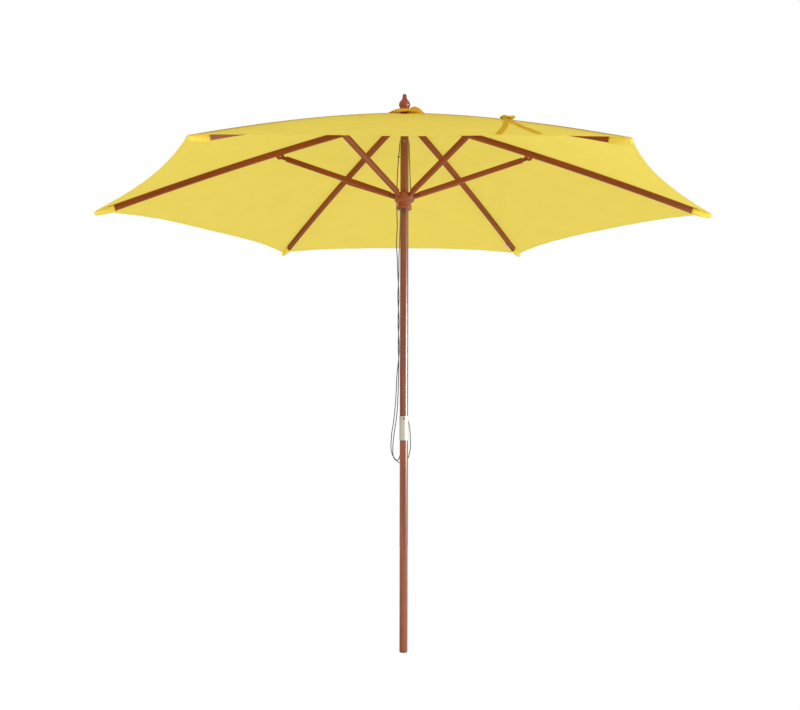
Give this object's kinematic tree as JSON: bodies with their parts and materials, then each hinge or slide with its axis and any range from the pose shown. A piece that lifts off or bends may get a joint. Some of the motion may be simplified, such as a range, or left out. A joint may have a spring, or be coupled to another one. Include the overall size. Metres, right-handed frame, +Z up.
{
  "type": "garden parasol",
  "caption": "Wooden garden parasol with a folding rib frame, a cord hoist with a sliding runner, a two-piece pole and a woven cloth canopy.",
  "frame": {"origin": "centre of the pole's foot", "axes": "+Z up the pole, +X along one rib, -Y towards the viewer"},
  "size_m": [2.7, 2.3386, 2.426],
  "materials": {
    "wood": "satin varnish, reddish brown",
    "turned_wood": "satin varnish on turned hardwood",
    "canopy_cloth": "plain woven, matte",
    "cap_cloth": "plain woven, matte",
    "steel": "brushed",
    "ferrule_metal": "pale, satin",
    "dark_metal": "dark, worn",
    "cord": "twisted cord, matte"
  },
  "bodies": {
    "lower_section": {"lower_pole": "wood"},
    "upper_section": {"upper_pole": "wood", "ferrule": "ferrule_metal", "ferrule_screws": "dark_metal", "crown_hub": "turned_wood", "crown_pins": "steel", "finial": "turned_wood", "finial_screw": "steel", "canopy_washer": "steel", "vent_cap": "cap_cloth", "pulley_axle": "steel", "lift_cord": "cord", "cord_cleat": "dark_metal", "cord_eye": "dark_metal"},
    "sheave": {"pulley_sheave": "steel"},
    "runner": {"runner": "turned_wood", "runner_pins": "steel"},
    "locking_pin": {"locking_pin": "dark_metal", "pin_ring": "dark_metal"},
    "rib_1": {"rib_1": "wood", "strut_cheeks_1": "wood", "strut_pin_1": "steel", "canopy_section_1": "canopy_cloth", "rib_pocket_1": "canopy_cloth"},
    "strut_1": {"strut_1": "wood"},
    "rib_2": {"rib_2": "wood", "strut_cheeks_2": "wood", "strut_pin_2": "steel", "canopy_section_2": "canopy_cloth", "rib_pocket_2": "canopy_cloth"},
    "strut_2": {"strut_2": "wood"},
    "rib_3": {"rib_3": "wood", "strut_cheeks_3": "wood", "strut_pin_3": "steel", "canopy_section_3": "canopy_cloth", "rib_pocket_3": "canopy_cloth"},
    "strut_3": {"strut_3": "wood"},
    "rib_4": {"rib_4": "wood", "strut_cheeks_4": "wood", "strut_pin_4": "steel", "canopy_section_4": "canopy_cloth", "rib_pocket_4": "canopy_cloth"},
    "strut_4": {"strut_4": "wood"},
    "rib_5": {"rib_5": "wood", "strut_cheeks_5": "wood", "strut_pin_5": "steel", "canopy_section_5": "canopy_cloth", "rib_pocket_5": "canopy_cloth"},
    "strut_5": {"strut_5": "wood"},
    "rib_6": {"rib_6": "wood", "strut_cheeks_6": "wood", "strut_pin_6": "steel", "canopy_section_6": "canopy_cloth", "rib_pocket_6": "canopy_cloth", "tie_strap": "cap_cloth"},
    "strut_6": {"strut_6": "wood"}
  },
  "joints": [
    {"name": "upper_section_lift", "type": "slide", "parent": "lower_section", "child": "upper_section", "axis": [0, 0, 1], "range_m": [0, 0.12]},
    {"name": "sheave_spin", "type": "hinge", "parent": "upper_section", "child": "sheave", "pos_m": [0, 0, 2.213], "axis": [0, 1, 0], "continuous": true},
    {"name": "locking_pin_pull", "type": "slide", "parent": "upper_section", "child": "locking_pin", "axis": [0, -1, 0], "range_m": [0, 0.09]},
    {"name": "rib_1_fold", "type": "hinge", "parent": "upper_section", "child": "rib_1", "pos_m": [0.036, 0, 2.317], "axis": [0, 1, 0], "range_deg": [0, 66], "deforming": ["canopy_section_1", "lift_cord"]},
    {"name": "strut_1_swing", "type": "hinge", "parent": "rib_1", "child": "strut_1", "pos_m": [0.54346, 0, 2.14431], "axis": [0, 1, 0], "range_deg": [-132, 0]},
    {"name": "rib_2_fold", "type": "hinge", "parent": "upper_section", "child": "rib_2", "pos_m": [0.018, 0.03118, 2.317], "axis": [-0.866, 0.5, 0], "range_deg": [0, 66], "deforming": ["canopy_section_2"]},
    {"name": "strut_2_swing", "type": "hinge", "parent": "rib_2", "child": "strut_2", "pos_m": [0.27173, 0.47065, 2.14431], "axis": [-0.866, 0.5, 0], "range_deg": [-132, 0]},
    {"name": "rib_3_fold", "type": "hinge", "parent": "upper_section", "child": "rib_3", "pos_m": [-0.018, 0.03118, 2.317], "axis": [-0.866, -0.5, 0], "range_deg": [0, 66], "deforming": ["canopy_section_3"]},
    {"name": "strut_3_swing", "type": "hinge", "parent": "rib_3", "child": "strut_3", "pos_m": [-0.27173, 0.47065, 2.14431], "axis": [-0.866, -0.5, 0], "range_deg": [-132, 0]},
    {"name": "rib_4_fold", "type": "hinge", "parent": "upper_section", "child": "rib_4", "pos_m": [-0.036, 0, 2.317], "axis": [0, -1, 0], "range_deg": [0, 66], "deforming": ["canopy_section_4"]},
    {"name": "strut_4_swing", "type": "hinge", "parent": "rib_4", "child": "strut_4", "pos_m": [-0.54346, 0, 2.14431], "axis": [0, -1, 0], "range_deg": [-132, 0]},
    {"name": "rib_5_fold", "type": "hinge", "parent": "upper_section", "child": "rib_5", "pos_m": [-0.018, -0.03118, 2.317], "axis": [0.866, -0.5, 0], "range_deg": [0, 66], "deforming": ["canopy_section_5"]},
    {"name": "strut_5_swing", "type": "hinge", "parent": "rib_5", "child": "strut_5", "pos_m": [-0.27173, -0.47065, 2.14431], "axis": [0.866, -0.5, 0], "range_deg": [-132, 0]},
    {"name": "rib_6_fold", "type": "hinge", "parent": "upper_section", "child": "rib_6", "pos_m": [0.018, -0.03118, 2.317], "axis": [0.866, 0.5, 0], "range_deg": [0, 66], "deforming": ["canopy_section_6"]},
    {"name": "strut_6_swing", "type": "hinge", "parent": "rib_6", "child": "strut_6", "pos_m": [0.27173, -0.47065, 2.14431], "axis": [0.866, 0.5, 0], "range_deg": [-132, 0]},
    {"name": "runner_level", "type": "hinge", "parent": "strut_1", "child": "runner", "pos_m": [0.036, 0, 1.97161], "axis": [0, 1, 0], "range_deg": [0, 66]}
  ],
  "couplings": [
    {"joint": "strut_1_swing", "follows": "rib_1_fold", "ratio": -2},
    {"joint": "rib_2_fold", "follows": "rib_1_fold", "ratio": 1},
    {"joint": "strut_2_swing", "follows": "rib_1_fold", "ratio": -2},
    {"joint": "rib_3_fold", "follows": "rib_1_fold", "ratio": 1},
    {"joint": "strut_3_swing", "follows": "rib_1_fold", "ratio": -2},
    {"joint": "rib_4_fold", "follows": "rib_1_fold", "ratio": 1},
    {"joint": "strut_4_swing", "follows": "rib_1_fold", "ratio": -2},
    {"joint": "rib_5_fold", "follows": "rib_1_fold", "ratio": 1},
    {"joint": "strut_5_swing", "follows": "rib_1_fold", "ratio": -2},
    {"joint": "rib_6_fold", "follows": "rib_1_fold", "ratio": 1},
    {"joint": "strut_6_swing", "follows": "rib_1_fold", "ratio": -2},
    {"joint": "runner_level", "follows": "rib_1_fold", "ratio": 1}
  ]
}
